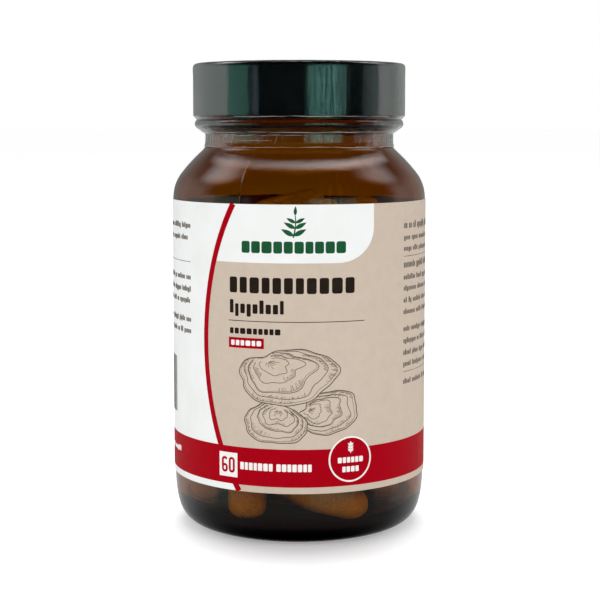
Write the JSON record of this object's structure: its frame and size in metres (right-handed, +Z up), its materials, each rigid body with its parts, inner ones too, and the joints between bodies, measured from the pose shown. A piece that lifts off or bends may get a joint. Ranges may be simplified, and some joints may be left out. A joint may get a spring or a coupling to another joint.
{
  "type": "capsule bottle",
  "caption": "Sealed amber glass bottle with a black screw cap, clear shrink band and wrap-around label, nearly full of two-part capsules.",
  "frame": {"origin": "centre of the bottle's foot ring, on the surface it stands on", "axes": "+Z up along the bottle's axis, the front of the label faces -Y, and +X is to the right of somebody reading it"},
  "size_m": [0.057, 0.057, 0.103],
  "materials": {
    "amber_glass": "clear polished amber glass",
    "cap_plastic": "smooth black gloss",
    "liner_foam": "matt pressed foam",
    "shrink_film": "clear heat-shrunk film, finely wrinkled",
    "label_paper": "satin coated paper with a printed design",
    "capsule_shell": "glossy clear shell over brown powder"
  },
  "bodies": {
    "root": {"bottle": "amber_glass", "screw_cap": "cap_plastic", "cap_liner": "liner_foam", "shrink_band": "shrink_film", "label": "label_paper", "capsule_01": "capsule_shell", "capsule_02": "capsule_shell", "capsule_03": "capsule_shell", "capsule_04": "capsule_shell", "capsule_05": "capsule_shell", "capsule_06": "capsule_shell", "capsule_07": "capsule_shell", "capsule_08": "capsule_shell", "capsule_09": "capsule_shell", "capsule_10": "capsule_shell", "capsule_11": "capsule_shell", "capsule_12": "capsule_shell", "capsule_13": "capsule_shell", "capsule_14": "capsule_shell", "capsule_15": "capsule_shell", "capsule_16": "capsule_shell", "capsule_17": "capsule_shell", "capsule_18": "capsule_shell", "capsule_19": "capsule_shell", "capsule_20": "capsule_shell", "capsule_21": "capsule_shell", "capsule_22": "capsule_shell", "capsule_23": "capsule_shell", "capsule_24": "capsule_shell", "capsule_25": "capsule_shell", "capsule_26": "capsule_shell", "capsule_27": "capsule_shell", "capsule_28": "capsule_shell", "capsule_29": "capsule_shell", "capsule_30": "capsule_shell", "capsule_31": "capsule_shell", "capsule_32": "capsule_shell", "capsule_33": "capsule_shell", "capsule_34": "capsule_shell", "capsule_35": "capsule_shell", "capsule_36": "capsule_shell", "capsule_37": "capsule_shell", "capsule_38": "capsule_shell", "capsule_39": "capsule_shell", "capsule_40": "capsule_shell", "capsule_41": "capsule_shell", "capsule_42": "capsule_shell", "capsule_43": "capsule_shell", "capsule_44": "capsule_shell", "capsule_45": "capsule_shell", "capsule_46": "capsule_shell", "capsule_47": "capsule_shell", "capsule_48": "capsule_shell", "capsule_49": "capsule_shell", "capsule_50": "capsule_shell", "capsule_51": "capsule_shell", "capsule_52": "capsule_shell", "capsule_53": "capsule_shell", "capsule_54": "capsule_shell", "capsule_55": "capsule_shell"}
  },
  "joints": []
}
